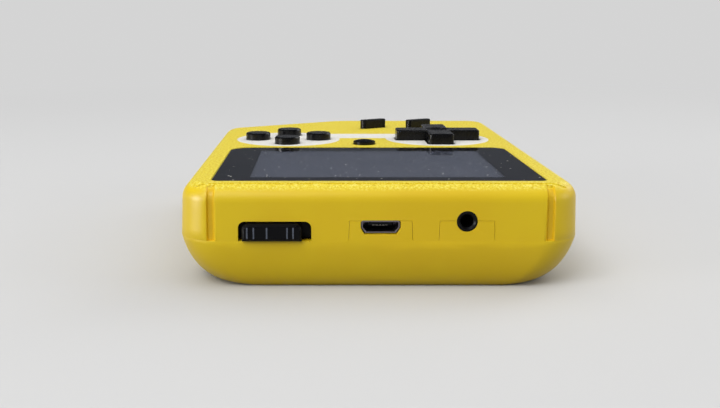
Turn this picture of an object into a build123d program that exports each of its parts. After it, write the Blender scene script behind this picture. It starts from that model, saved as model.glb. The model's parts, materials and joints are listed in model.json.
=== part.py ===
from build123d import *
from math import cos, radians, sin, sqrt, tan
import os

# Handheld game console lying on its back: screen face up (+Z), socket end towards -Y.
# The origin is the middle of the case on the surface that it rests on. Millimetres and degrees.
# A place "from the end" is counted along the case from the socket end.

# Case; its width and length follow from the screen, the controls and these margins
lens_side_margin = 6.2
menu_far_margin = 21.5
case_height = 21.0
parting_height = 10.0
wall = 2.0
draft = 2.35
socket_corner_radius = 8.0
far_corner_radius = 7.0
cut_width = 33.0
cut_length = 19.8
cut_end_radius = 15.0
cut_side_radius = 7.0
face_edge_radius = 3.5
inner_edge_radius = 0.8
underside_roll = 9.0
underside_end_roll = 4.0
underside_corner_growth = 0.5
underside_start_turn = 18.0
underside_steps = 7
overrun = 1.0

# Lip that locates the two shells
lip_height = 1.2
lip_thickness = 0.9
lip_gap = 0.1
lip_start = 14.0

# Grooves round the socket end
groove_from_end = 3.0
groove_width = 0.9
groove_depth = 0.2
groove_reach = 1.0
end_groove_inset = 6.65
end_groove_width = 2.0
end_groove_depth = 0.8
end_groove_bevel = 0.55
end_groove_bend_radius = 3.2

# Screen; the lens reaches past the view by its printed mask
lens_start = 5.7
mask_side = 6.8
mask_near = 4.9
mask_far = 3.9
lens_thickness = 1.0
lens_sink = 0.1
lens_gap = 0.12
lens_socket_radius = 1.8
lens_left_radius = 5.0
lens_right_radius = 3.0
view_width = 54.0
view_length = 39.0
lcd_border = 3.0
lcd_glass_thickness = 1.0
lcd_glass_margin = 1.2
lcd_glass_gap = 0.2
lcd_glass_drop = 0.2
lcd_tray_thickness = 2.1
lcd_gasket_thickness = 0.3
lcd_rib_gap = 0.3
lcd_rib_thickness = 1.0
ribbon_width = 24.0
ribbon_thickness = 0.2
ribbon_lead = 0.5
ribbon_tail = 5.0
ribbon_rise = 1.1
ribbon_top_drop = 1.5
connector_width = 27.0
connector_length = 3.6
connector_height = 1.7

# Main board
board_top = 11.5
board_thickness = 1.6
board_gap = 0.8
board_post_gap = 0.4
board_boss_radius = 2.3
board_boss_inset = 5.4
board_boss_first = 32.0
board_boss_setback = 18.5
board_far_inset = 14.5
board_far_left_inset = 28.0
board_far_right_inset = 11.0
switch_notch_margin = 1.2

# Screws
screw_shaft_radius = 1.0
screw_hole_gap = 0.05
case_screw_head_radius = 2.0
case_screw_head_height = 1.6
case_screw_length = 8.0
board_screw_head_radius = 1.7
board_screw_head_height = 1.1
board_screw_length = 6.0
screw_slot_width = 0.55
screw_slot_depth = 0.6
screw_cross_share = 0.6
screw_bevel_share = 0.25

# Case posts, one pair for each case screw
post_radius = 2.6
well_wall = 0.9
well_gap = 0.3
well_seat = 5.5
post_meeting = 9.4
post_gap = 0.05
post_inset = 6.0
post_first = 13.0
post_far_inset = 12.0
cut_post_setback = 7.2

# Round action buttons; setbacks count from the lens's far edge
action_inset = 19.7
action_setback = 15.2
action_reach = 8.0
action_radius = 3.22
action_height = 1.8
action_bevel = 0.3

# Cross pad
pad_inset = 20.8
pad_setback = 15.8
pad_span = 21.8
pad_arm = 6.3
pad_height = 2.65
pad_edge = 0.35
pad_tip_radius = 0.8
pad_gap = 0.45
pad_flange_radius = 9.0
pad_flange_drop = 1.1
pad_stub_radius = 2.0
pad_stud_radius = 1.9
pad_stud_share = 0.72
pad_pit_first = 4.3
pad_pit_pitch = 1.45
pad_pit_count = 3
pad_pit_radius = 0.4
pad_pit_depth = 0.2
pad_dish_radius = 3.25
pad_dish_depth = 0.35
pad_ring_radii = (1.5, 2.5)
pad_ring_width = 0.3
pad_ring_depth = 0.45

# Start and select bars
menu_pad_offset = 9.1
menu_setback = 24.2
menu_pitch = 13.15
menu_length = 8.05
menu_width = 2.2
menu_corner = 0.9
menu_turn = 30.0
menu_height = 2.5
menu_edge = 0.25

# Reset button, midway between the two clusters
reset_setback = 6.1
reset_radius = 2.8
reset_height = 1.2
reset_rim_height = 0.7

# What all pressed buttons share
button_gap = 0.2
flange_reach = 1.3
flange_thickness = 1.0
flange_gap = 0.15
press_travel = 0.8

# Silicone contact mats
mat_thickness = 0.8
dome_height = 3.6
dome_base_radius = 3.4
dome_top_radius = 2.3
dome_pocket_radius = 1.9
contact_spare = 0.2
action_mat_size = 24.0
pad_mat_size = 24.0
mat_corner = 2.5
menu_mat_margin = 5.4
reset_mat_radius = 3.6

# Power switch
window_inset = 12.05
window_width = 14.37
window_height = 3.9
window_radius = 1.3
slider_travel = 1.5
knob_left_gap = 0.8
knob_right_gap = 0.4
knob_floor_gap = 0.12
knob_height = 3.45
knob_corner = 1.2
knob_proud = 1.15
knob_bevel = 0.45
knob_rib_shares = (-0.41, -0.30, -0.08, 0.26, 0.36)
knob_rib_width = 0.3
knob_rib_rise = 0.15
knob_rib_setback = 0.6
knob_plate_overlap = 0.5
knob_plate_height = 4.6
knob_plate_thickness = 0.8
knob_plate_gap = 0.1
knob_socket_depth = 1.6
switch_width = 8.6
switch_depth = 3.8
switch_height = 3.5
switch_sheet = 0.3
switch_from_end = 4.4
switch_slot_margin = 0.3
lever_width = 1.8
lever_height = 0.9
lever_foot = 1.0
switch_base_height = 0.8

# Tabs of the back shell that rise beside the sockets
usb_tab_x = 0.0
usb_tab_width = 12.2
socket_pitch = 16.9
jack_tab_width = 10.6
tab_height = 4.0
tab_taper = 0.15
tab_root_radius = 0.5
tab_seam = 0.06

# Micro-USB socket
usb_width = 7.5
usb_height = 2.45
usb_depth = 5.2
usb_sheet = 0.25
usb_chamfer_width = 0.75
usb_chamfer_height = 1.1
usb_corner = 0.35
usb_recess = 0.8
usb_hole_gap = 0.18
usb_tongue_width = 4.6
usb_tongue_height = 0.6
usb_tongue_drop = 0.35
usb_tongue_length = 3.4
usb_block_length = 0.9
usb_contact_count = 5
usb_contact_width = 0.4
usb_contact_pitch = 0.65
usb_contact_height = 0.1
usb_foot_width = 1.1

# AV socket
jack_height = 13.9
jack_nose_radius = 2.02
jack_hole_gap = 0.06
jack_bore_radius = 1.3
jack_lead_in = 0.35
jack_recess = 0.3
jack_body_width = 5.6
jack_body_length = 9.5
jack_body_top = 16.1
jack_bore_length = 9.0
jack_contact_width = 1.4
jack_contact_thickness = 0.25

# Speaker
speaker_from_end = 29.0
speaker_radius = 14.0
speaker_rim_width = 2.0
speaker_rim_height = 1.0
speaker_height = 4.8
speaker_basket_radius = 8.5
speaker_magnet_radius = 6.5
speaker_magnet_height = 2.0
speaker_cone_thickness = 0.3
speaker_cap_radius = 4.0
speaker_cap_rise = 0.8
speaker_cone_foot = 0.9
speaker_ring_gap = 0.2
speaker_ring_thickness = 1.0
speaker_ring_height = 3.0
speaker_slot_count = 7
speaker_slot_width = 1.4
speaker_slot_pitch = 2.9
speaker_slot_reach = 10.5

# Battery, its compartment and cover
battery_width = 53.0
battery_depth = 34.0
battery_height = 5.7
battery_corner = 2.5
battery_edge = 0.6
battery_gap = 0.3
contact_room = 3.0
bay_far_margin = 25.2
bay_hook_room = 1.2
bay_wall = 1.2
bay_roof = 1.2
cover_ledge = 1.5
cover_thickness = 1.8
cover_gap = 0.15
cover_seat_gap = 0.1
cover_corner = 1.6
battery_floor_gap = 0.2
hook_count = 2
hook_pitch = 34.0
hook_width = 6.0
hook_reach = 1.3
hook_thickness = 0.9
hook_post = 0.8
hook_swing_room = 0.6
latch_width = 10.0
latch_length = 8.0
latch_slit = 0.7
grip_count = 4
grip_pitch = 1.5
grip_width = 0.6
grip_depth = 0.4
grip_length = 12.0
blade_count = 3
blade_pitch = 8.0
blade_width = 3.0
blade_thickness = 0.3
blade_bow = 1.4
blade_height = 4.4

# Parts on the board; the setbacks count from the row of chips towards the socket end
chip_connector_gap = 1.0
game_chip_x = -9.0
game_chip_size = 12.0
game_chip_height = 1.4
memory_chip_x = 9.0
memory_chip_length = 10.0
memory_chip_width = 6.2
memory_chip_height = 1.7
charge_chip_x = 6.0
charge_chip_setback = 21.5
charge_chip_size = 3.0
charge_chip_height = 1.1
chip_leg_count = 8
chip_leg_width = 0.45
chip_leg_thickness = 0.2
chip_leg_reach = 1.0
chip_stand_off = 0.15
crystal_setback = 14.0
crystal_length = 10.5
crystal_width = 4.4
crystal_height = 3.4
capacitor_radius = 2.0
capacitor_height = 3.6
capacitor_count = 2
capacitor_pitch = 6.0
capacitor_x = 25.0
capacitor_setback = 16.0
small_part_length = 1.8
small_part_width = 1.0
small_part_height = 0.8
small_part_rows = 3
small_part_columns = 4
small_part_pitch = 3.2
small_part_x = 2.0
small_part_setback = 17.0

lens_width = view_width + 2 * mask_side
lens_length = view_length + mask_near + mask_far
lens_end = lens_start + lens_length
view_start = lens_start + mask_near
pad_from_end = lens_end + pad_setback
action_from_end = lens_end + action_setback
reset_from_end = lens_end + reset_setback
menu_from_end = pad_from_end + menu_setback
case_width = lens_width + 2 * lens_side_margin
case_length = menu_from_end + menu_far_margin
pad_x = case_width / 2 - pad_inset
action_x = action_inset - case_width / 2
reset_x = (pad_x + action_x) / 2
menu_x = pad_x - menu_pad_offset
jack_x = usb_tab_x + socket_pitch
window_left = window_inset - case_width / 2
face_height = case_height
ceiling = case_height - wall
flange_top = ceiling - flange_gap
lens_floor = face_height - lens_sink - lens_thickness
board_bottom = board_top - board_thickness
dome_top = board_top + dome_height
lcd_width = view_width + 2 * lcd_border
lcd_length = view_length + 2 * lcd_border
view_middle = view_start + view_length / 2
lens_middle = lens_start + lens_length / 2
lcd_glass_width = lcd_width - 2 * lcd_glass_margin
lcd_glass_length = lcd_length - 2 * lcd_glass_margin
lcd_glass_top = lens_floor - lcd_glass_drop
lcd_tray_top = lcd_glass_top - lcd_glass_thickness
lcd_bottom = lcd_tray_top - lcd_tray_thickness
connector_far = view_middle + lcd_length / 2 - ribbon_tail
chip_row = connector_far - connector_length - chip_connector_gap - chip_leg_reach - game_chip_size / 2
window_right = window_left + window_width
knob_width = window_width - slider_travel - knob_left_gap - knob_right_gap
knob_x = window_left + knob_left_gap + knob_width / 2
switch_x = knob_x + slider_travel / 2
bay_length = bay_hook_room + battery_depth + 2 * battery_gap
bay_half_width = (battery_width + contact_room + 2 * battery_gap) / 2
bay_end = case_length - bay_far_margin
bay_start = bay_end - bay_length
battery_floor = cover_thickness + cover_seat_gap + battery_floor_gap
bay_ceiling = battery_floor + battery_height + battery_gap
cover_half_width = bay_half_width + cover_ledge
cover_start = bay_start - cover_ledge
cover_end = bay_end + cover_ledge
post_x = case_width / 2 - post_inset
well_radius = case_screw_head_radius + well_gap + well_wall
post_second = cover_start - bay_wall - well_radius
boss_x = case_width / 2 - board_boss_inset
board_boss_second = lens_end + board_boss_setback
case_screw_places = (
    (-post_x, post_first),
    (post_x, post_first),
    (-post_x, post_second),
    (post_x, post_second),
    (-post_x, case_length - cut_length - cut_post_setback),
    (post_x, case_length - post_far_inset),
)
board_screw_places = (
    (-boss_x, board_boss_first),
    (boss_x, board_boss_first),
    (-boss_x, board_boss_second),
    (boss_x, board_boss_second),
    (board_far_left_inset - case_width / 2, case_length - board_far_inset),
    (case_width / 2 - board_far_right_inset, case_length - board_far_inset),
)
menu_places = ((menu_x - menu_pitch / 2, menu_from_end), (menu_x + menu_pitch / 2, menu_from_end))


def block(x_span, end_span, z_span):
    """Box between two places on each axis; the second axis counts from the socket end."""
    size = [high - low for low, high in (x_span, end_span, z_span)]
    low_corner = (x_span[0], end_span[0] - case_length / 2, z_span[0])
    return Pos(*low_corner) * Box(*size, align=Align.MIN)


def disc(radius, z_span, x=0.0, from_end=case_length / 2):
    """Upright cylinder between two heights."""
    place = Pos(x, from_end - case_length / 2, z_span[0])
    return place * Cylinder(radius, z_span[1] - z_span[0], align=(Align.CENTER, Align.CENTER, Align.MIN))


def prism(sketch, z_span, x=0.0, from_end=case_length / 2, turn=0.0):
    """A flat outline turned about Z, moved to its place and raised between two heights."""
    place = Pos(x, from_end - case_length / 2, z_span[0]) * Rot(0, 0, turn)
    return extrude(place * sketch, z_span[1] - z_span[0])


def end_prism(sketch, x, z, end_span):
    """An outline seen from the socket end, raised along the case between two distances from it."""
    place = Pos(x, end_span[1] - case_length / 2, z) * Rot(90, 0, 0)
    return extrude(place * sketch, end_span[1] - end_span[0])


def join(solids):
    """One shape from a list of solids."""
    return Part() + list(solids)


# Case outline and skins


def case_face(inset, height, narrowing_share=0.0):
    """Case outline at a height; narrowing runs from 0 at the parting line to 1 on the flat underside."""
    side_inset = inset + (underside_roll - inset) * narrowing_share
    end_inset = inset + (underside_end_roll - inset) * narrowing_share
    growth = underside_corner_growth * narrowing_share - inset
    half_width = case_width / 2 - side_inset
    half_length = case_length / 2 - end_inset
    slant = sqrt(cut_width**2 + cut_length**2)
    across, along = -cut_length / slant, cut_width / slant
    cut_inset = sqrt((side_inset * across) ** 2 + (end_inset * along) ** 2)
    reach = along * (case_length / 2 - cut_length) - across * case_width / 2 - cut_inset
    corners = (
        ((-half_width, -half_length), socket_corner_radius),
        ((half_width, -half_length), socket_corner_radius),
        ((half_width, half_length), far_corner_radius),
        (((reach - along * half_length) / across, half_length), cut_end_radius),
        ((-half_width, (reach + across * half_width) / along), cut_side_radius),
    )
    points = [point for point, radius in corners]
    radii = [radius + growth for point, radius in corners]
    return Pos(0, 0, height) * make_face(FilletPolyline(*points, radius=radii, close=True))


def upper_skin(inset):
    """Upper half of the case as one solid, drawn in by inset from the outer surface."""
    rise = case_height - parting_height - inset
    body = extrude(case_face(inset, parting_height), rise, taper=draft)
    rim = body.faces().sort_by(Axis.Z)[-1].edges()
    return fillet(rim, max(face_edge_radius - inset, inner_edge_radius))


def lower_skin(inset):
    """Lower half of the case, which turns in at the parting line and rolls under to the flat back."""
    depth = parting_height - inset
    start = radians(underside_start_turn)
    step = (radians(90) - start) / underside_steps
    sections = []
    for index in range(underside_steps + 1):
        turn = start + step * index
        narrowing_share = 1 - cos(turn) / cos(start)
        depth_share = (sin(turn) - sin(start)) / (1 - sin(start))
        sections.append(case_face(inset, parting_height - depth * depth_share, narrowing_share))
    return loft(sections)


def lip_ring(outer_inset, height):
    """Band inside the case wall above the parting line, left out at the socket end."""
    ring_height = parting_height + height
    outer = prism(case_face(outer_inset, 0), (parting_height, ring_height))
    inner = prism(case_face(wall, 0), (parting_height - overrun, ring_height + overrun))
    socket_end = block(
        (-case_width, case_width), (-overrun, lip_start), (0, case_height)
    )
    return outer - inner - socket_end


# Outlines that a piece shares with its opening


def lens_outline(gap):
    width, length = lens_width + 2 * gap, lens_length + 2 * gap
    corners = (
        ((-width / 2, -length / 2), lens_socket_radius),
        ((width / 2, -length / 2), lens_socket_radius),
        ((width / 2, length / 2), lens_right_radius),
        ((-width / 2, length / 2), lens_left_radius),
    )
    points = [point for point, radius in corners]
    radii = [radius + gap for point, radius in corners]
    return make_face(FilletPolyline(*points, radius=radii, close=True))


def cross_outline(gap):
    span, arm = pad_span + 2 * gap, pad_arm + 2 * gap
    cross = Rectangle(span, arm) + Rectangle(arm, span)
    tips = [v for v in cross.vertices() if max(abs(v.X), abs(v.Y)) > arm]
    return fillet(tips, pad_tip_radius + gap)


def menu_outline(gap):
    return RectangleRounded(menu_length + 2 * gap, menu_width + 2 * gap, menu_corner + gap)


def tab_outline(width, gap):
    """Tab seen from the socket end: slightly tapered sides that flare out at the parting line."""
    half, top = width / 2 + gap, tab_height + gap
    root = half + tab_taper
    tab = make_face(Polyline((-root, 0), (root, 0), (half, top), (-half, top), close=True))
    foot = Pos(0, -overrun / 2) * Rectangle(2 * root + 2 * overrun, overrun)
    outline = tab + foot
    corners = outline.vertices().group_by(Axis.Y)[1].sort_by(Axis.X)[1:3]
    return fillet(corners, tab_root_radius - gap) - foot


def usb_outline(gap):
    """Socket mouth seen from the end, wide side up, with its lower corners cut."""
    half, top, bottom = usb_width / 2 + gap, usb_height + gap, -gap
    points = (
        (-half, top),
        (half, top),
        (half, usb_chamfer_height),
        (half - usb_chamfer_width, bottom),
        (usb_chamfer_width - half, bottom),
        (-half, usb_chamfer_height),
    )
    face = make_face(Polyline(*points, close=True))
    upper = face.vertices().sort_by(Axis.Y)[-2:]
    return fillet(upper, usb_corner + gap) if usb_corner + gap > 0 else face


def lcd_glass_outline(gap):
    return Rectangle(lcd_glass_width + 2 * gap, lcd_glass_length + 2 * gap)


def window_outline():
    outline = Pos(0, window_height / 2) * Rectangle(window_width, window_height)
    return fillet(outline.vertices().sort_by(Axis.Y)[-2:], window_radius)


def action_places():
    """Middles of the four round buttons, named as the player sees them: left, lower, right, upper."""
    steps = ((1, 0), (0, 1), (-1, 0), (0, -1))
    return [(action_x + action_reach * x, action_from_end + action_reach * y) for x, y in steps]


def pad_stud_places():
    reach = pad_span / 2 * pad_stud_share
    steps = ((1, 0), (0, 1), (-1, 0), (0, -1))
    return [(pad_x + reach * x, pad_from_end + reach * y) for x, y in steps]


# Front shell


def front_openings():
    """Everything cut through the face."""
    through = (ceiling - overrun, face_height + overrun)
    yield prism(lens_outline(lens_gap), (lens_floor, through[1]), 0, lens_middle)
    yield prism(lcd_glass_outline(lcd_glass_gap), through, 0, view_middle)
    for x, from_end in action_places():
        yield disc(action_radius + button_gap, through, x, from_end)
    yield prism(cross_outline(pad_gap), through, pad_x, pad_from_end)
    for x, from_end in menu_places:
        yield prism(menu_outline(button_gap), through, x, from_end, menu_turn)
    yield disc(reset_radius + button_gap, through, reset_x, reset_from_end)


def socket_openings():
    """Holes for the two sockets, cut through both shells at the socket end."""
    through = (-overrun, wall + overrun)
    yield end_prism(usb_outline(usb_hole_gap), usb_tab_x, board_top, through)
    hole = Circle(jack_nose_radius + jack_hole_gap)
    yield end_prism(hole, jack_x, jack_height, through)


def face_groove(skin):
    """Shallow groove across the face, as deep where the face rounds over at its sides."""
    half = groove_width / 2
    band = block(
        (-case_width, case_width),
        (groove_from_end - half, groove_from_end + half),
        (face_height - groove_reach, face_height + overrun),
    )
    return (skin & band) - upper_skin(groove_depth)


def end_groove(x):
    """Groove with sloped walls up the leaning end face and over its top edge to the face groove."""
    lean = tan(radians(draft))
    near = -case_length / 2
    bottom = (near - overrun * lean, parting_height - overrun)
    top = (near + (case_height - parting_height) * lean, case_height)
    last = (near + 2 * end_groove_bend_radius, case_height)
    path = Plane.YZ.offset(x) * FilletPolyline(bottom, top, last, radius=end_groove_bend_radius)
    half = end_groove_width / 2
    spread = end_groove_bevel / end_groove_depth * overrun
    profile = make_face(Polyline(
        (-half - spread, -overrun),
        (half + spread, -overrun),
        (half - end_groove_bevel, end_groove_depth),
        (end_groove_bevel - half, end_groove_depth),
        close=True,
    ))
    start = Plane(origin=path @ 0, x_dir=(1, 0, 0), z_dir=path % 0)
    end_span = (-2 * overrun, groove_from_end)
    reach = block((x - end_groove_width, x + end_groove_width), end_span, (0, case_height + overrun))
    return sweep(start * profile, path=path) & reach


def front_shell():
    skin = upper_skin(0)
    shell = skin - upper_skin(wall) - face_groove(skin)
    for side in (-1, 1):
        shell -= end_groove(side * (case_width / 2 - end_groove_inset))
    shell -= lip_ring(wall - lip_thickness - lip_gap, lip_height + lip_gap)
    shell += lcd_ribs()
    for x, from_end in case_screw_places:
        shell += disc(post_radius, (post_meeting + post_gap, ceiling), x, from_end)
    for x, from_end in board_screw_places:
        shell += disc(board_boss_radius, (board_top, ceiling), x, from_end)
    for x, from_end in case_screw_places:
        pilot_top = well_seat + case_screw_length + screw_hole_gap
        shell -= disc(screw_shaft_radius + screw_hole_gap, (0, pilot_top), x, from_end)
    for x, from_end in board_screw_places:
        pilot_top = board_bottom + board_screw_length + screw_hole_gap
        shell -= disc(screw_shaft_radius + screw_hole_gap, (0, pilot_top), x, from_end)
    shell -= join(front_openings())
    through = (-overrun, wall + overrun)
    shell -= end_prism(window_outline(), switch_window_middle(), parting_height, through)
    for x, width in ((usb_tab_x, usb_tab_width), (jack_x, jack_tab_width)):
        shell -= end_prism(tab_outline(width, tab_seam), x, parting_height, through)
    return shell - join(socket_openings())


def switch_window_middle():
    return window_left + window_width / 2


def lcd_ribs():
    """Ribs under the face that hold the screen module at its edges."""
    inner_width, inner_length = lcd_width + 2 * lcd_rib_gap, lcd_length + 2 * lcd_rib_gap
    outer = Rectangle(inner_width + 2 * lcd_rib_thickness, inner_length + 2 * lcd_rib_thickness)
    frame = prism(outer - Rectangle(inner_width, inner_length), (lcd_bottom, ceiling), 0, view_middle)
    far_edge = view_middle + lcd_length / 2
    ribbon_way = block(
        (-ribbon_width / 2 - lcd_rib_gap, ribbon_width / 2 + lcd_rib_gap),
        (far_edge - overrun, far_edge + lcd_rib_gap + lcd_rib_thickness + overrun),
        (lcd_bottom - overrun, ceiling - lcd_rib_gap),
    )
    return frame - ribbon_way


# Back shell


def back_tabs():
    """The two tabs that rise into the front shell, flush with its end face."""
    wall_span = (-overrun, wall)
    tabs = []
    for x, width in ((usb_tab_x, usb_tab_width), (jack_x, jack_tab_width)):
        tabs.append(end_prism(tab_outline(width, 0), x, parting_height, wall_span))
    return upper_skin(0) & join(tabs)


def cover_outline(gap):
    width = 2 * (cover_half_width + gap)
    return RectangleRounded(width, cover_end - cover_start + 2 * gap, cover_corner)


def hook_spans(side_gap):
    """Widths along X of the cover's hooks."""
    first = -hook_pitch * (hook_count - 1) / 2
    half = hook_width / 2 + side_gap
    middles = [first + hook_pitch * index for index in range(hook_count)]
    return [(x - half, x + half) for x in middles]


def cover_hooks():
    """Posts inside the compartment wall, with fingers that reach over the case floor."""
    post = (cover_start + cover_gap, cover_start + cover_gap + hook_post)
    finger_floor = wall + cover_seat_gap
    finger_top = finger_floor + hook_thickness
    hooks = []
    for x_span in hook_spans(0):
        hooks.append(block(x_span, (cover_start - hook_reach, post[1]), (finger_floor, finger_top)))
        hooks.append(block(x_span, post, (cover_thickness - cover_seat_gap, finger_top)))
    return join(hooks)


def hook_slots():
    """Room in the compartment wall for the hooks to sit in and to swing out through."""
    near = cover_start - hook_reach - hook_swing_room
    top = wall + cover_seat_gap + hook_thickness + hook_swing_room
    slots = []
    for x_span in hook_spans(button_gap):
        slots.append(block(x_span, (near, bay_start + overrun), (wall, top)))
        slots.append(block(x_span, (cover_start, bay_start + overrun), (cover_thickness, top)))
    return join(slots)


def bay_walls():
    """Solid that the battery compartment is cut from."""
    reach = cover_half_width + bay_wall
    return block(
        (-reach, reach),
        (cover_start - bay_wall, cover_end + bay_wall),
        (0, bay_ceiling + bay_roof),
    )


def bay_room():
    return block((-bay_half_width, bay_half_width), (bay_start, bay_end), (0, bay_ceiling))


def speaker_slots():
    first = -speaker_slot_pitch * (speaker_slot_count - 1) / 2
    for index in range(speaker_slot_count):
        offset = first + speaker_slot_pitch * index
        length = 2 * sqrt(speaker_slot_reach**2 - offset**2)
        slot = SlotOverall(length, speaker_slot_width)
        yield prism(slot, (-overrun, wall + overrun), 0, speaker_from_end + offset)


def speaker_ring():
    ring_radius = speaker_radius + speaker_ring_gap
    z_span = (wall - cover_seat_gap, wall + speaker_ring_height)
    outer = disc(ring_radius + speaker_ring_thickness, z_span, 0, speaker_from_end)
    return outer - disc(ring_radius, (0, case_height), 0, speaker_from_end)


def screw_wells():
    """Posts of the back shell, and the stepped holes up through them."""
    posts, holes = [], []
    for x, from_end in case_screw_places:
        posts.append(disc(well_radius, (0, post_meeting - post_gap), x, from_end))
        holes.append(disc(well_radius - well_wall, (-overrun, well_seat), x, from_end))
        holes.append(disc(screw_shaft_radius + well_gap, (0, case_height), x, from_end))
    return join(posts), join(holes)


def back_shell():
    skin = lower_skin(0)
    posts, holes = screw_wells()
    inside = join([posts, bay_walls(), speaker_ring()]) & skin
    shell = skin - lower_skin(wall) + inside
    shell += lip_ring(wall - lip_thickness, lip_height)
    shell += back_tabs()
    shell -= bay_room()
    cover_middle = (cover_start + cover_end) / 2
    cover_top = cover_thickness + cover_seat_gap
    shell -= prism(cover_outline(0), (-overrun, cover_top), 0, cover_middle)
    shell -= hook_slots()
    shell -= holes
    shell -= join(blade_slots())
    return shell - join(speaker_slots()) - join(socket_openings())


# Battery and its cover


def battery_cover():
    middle = (cover_start + cover_end) / 2
    cover = prism(cover_outline(-cover_gap), (0, cover_thickness), 0, middle) & lower_skin(0)
    far_edge = cover_end - cover_gap
    half = latch_width / 2
    for side in (-1, 1):
        slit_middle = side * (half + latch_slit / 2)
        x_span = (slit_middle - latch_slit / 2, slit_middle + latch_slit / 2)
        cover -= block(x_span, (far_edge - latch_length, far_edge + overrun), (-overrun, wall + overrun))
    for index in range(grip_count):
        place = far_edge - latch_length - overrun - grip_pitch * (index + 1)
        groove = SlotOverall(grip_length, grip_width)
        cover -= prism(groove, (-overrun, grip_depth), 0, place)
    return cover + cover_hooks()


def battery_middle():
    x = bay_half_width - contact_room - battery_gap - battery_width / 2
    return x, bay_end - battery_gap - battery_depth / 2


def battery():
    outline = RectangleRounded(battery_width, battery_depth, battery_corner)
    x, from_end = battery_middle()
    cell = prism(outline, (battery_floor, battery_floor + battery_height), x, from_end)
    flats = cell.faces().filter_by(Axis.Z)
    return fillet(flats.edges(), battery_edge)


def blade_places():
    middle = battery_middle()[1]
    first = middle - blade_pitch * (blade_count - 1) / 2
    return [first + blade_pitch * index for index in range(blade_count)]


def blade_slots():
    """Slots that lead the battery contacts up out of the compartment."""
    for from_end in blade_places():
        half = blade_width / 2 + button_gap
        x_span = (bay_half_width - blade_thickness - cover_gap, bay_half_width)
        yield block(x_span, (from_end - half, from_end + half), (bay_ceiling - overrun, board_bottom))


def battery_contacts():
    """Three bowed blades that press on the battery's end and rise to the board."""
    blades = []
    low = battery_floor + battery_height / 2 - blade_height / 2
    high = board_bottom
    inner = bay_half_width - blade_thickness
    middle = low + blade_height / 2
    tip = bay_half_width - contact_room + cover_gap
    for from_end in blade_places():
        riser = block(
            (inner, bay_half_width), (from_end - blade_width / 2, from_end + blade_width / 2), (low, high)
        )
        path = Polyline((inner, low + blade_thickness), (tip, middle), (tip + blade_bow, low + blade_height))
        bow = Plane.XZ * trace(path, blade_thickness)
        y_low = from_end - blade_width / 2 - case_length / 2
        blades.append(riser + Pos(0, y_low + blade_width, 0) * extrude(bow, blade_width))
    return join(blades)


# Screen


def screen_lens():
    lens = prism(lens_outline(0), (lens_floor, face_height - lens_sink), 0, lens_middle)
    top = lens.faces().sort_by(Axis.Z)[-1]
    return chamfer(top.edges(), lens_sink)


def lcd_gasket():
    """Foam ring between the tray's rim and the underside of the face."""
    ring = Rectangle(lcd_width, lcd_length) - lcd_glass_outline(lcd_glass_gap)
    return prism(ring, (ceiling - lcd_gasket_thickness, ceiling), 0, view_middle)


def lcd_glass():
    """Glass that stands up through the face's opening to just under the lens."""
    return prism(lcd_glass_outline(0), (lcd_tray_top, lcd_glass_top), 0, view_middle)


def lcd_backlight():
    outer = Rectangle(lcd_width, lcd_length)
    tray = prism(outer, (lcd_bottom, ceiling - lcd_gasket_thickness), 0, view_middle)
    return tray - prism(lcd_glass_outline(0), (lcd_tray_top, ceiling), 0, view_middle)


def ribbon_heights():
    return lcd_tray_top - ribbon_top_drop, board_top + ribbon_rise


def lcd_ribbon():
    """Flat ribbon that leaves the tray's far edge, turns half round and comes back to the board."""
    upper, lower = ribbon_heights()
    edge = view_middle + lcd_length / 2
    bend = edge + ribbon_lead
    radius = (upper - lower) / 2
    top_run = Line((edge, upper), (bend, upper))
    turn = CenterArc((bend, (upper + lower) / 2), radius, 90, -180)
    low_run = Line((bend, lower), (edge - ribbon_tail, lower))
    strip = Plane.YZ * trace([top_run, turn, low_run], ribbon_thickness)
    return Pos(-ribbon_width / 2, -case_length / 2, 0) * extrude(strip, ribbon_width)


def ribbon_connector():
    return block(
        (-connector_width / 2, connector_width / 2),
        (connector_far - connector_length, connector_far),
        (board_top, board_top + connector_height),
    )


# Main board and what is soldered to it


def main_board():
    board = prism(case_face(wall + board_gap, 0), (board_bottom, board_top))
    notch_radius = post_radius + board_post_gap
    for x, from_end in case_screw_places:
        board -= disc(notch_radius, (0, case_height), x, from_end)
        edge = case_width if x > 0 else -case_width
        span = (min(x, edge), max(x, edge))
        board -= block(span, (from_end - notch_radius, from_end + notch_radius), (0, case_height))
    for x, from_end in board_screw_places:
        board -= disc(screw_shaft_radius + screw_hole_gap, (0, case_height), x, from_end)
    plate = knob_plate_span()
    return board - block(
        (plate[0] - switch_notch_margin, plate[1] + slider_travel + switch_notch_margin),
        (0, knob_plate_far() + board_post_gap),
        (0, case_height),
    )


def chip_legs(place, half_width, length, count, height, turned):
    """Rows of bent legs on both long sides of a chip, as solids against its sides."""
    legs = []
    pitch = length / count
    for side in (-1, 1):
        for index in range(count):
            along = -length / 2 + pitch * (index + 0.5)
            foot_out = side * (half_width + chip_leg_reach)
            shin = side * (half_width + chip_leg_reach / 2)
            foot = (min(shin, foot_out), max(shin, foot_out))
            arm = (min(side * half_width, shin), max(side * half_width, shin))
            half = chip_leg_width / 2
            for across, z_span in (
                (foot, (board_top, board_top + chip_leg_thickness)),
                (arm, (board_top, height)),
            ):
                length_span = (along - half, along + half)
                spans = (length_span, across) if turned else (across, length_span)
                x_span = tuple(place[0] + value for value in spans[0])
                end_span = tuple(place[1] + value for value in spans[1])
                legs.append(block(x_span, end_span, z_span))
    return legs


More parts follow.
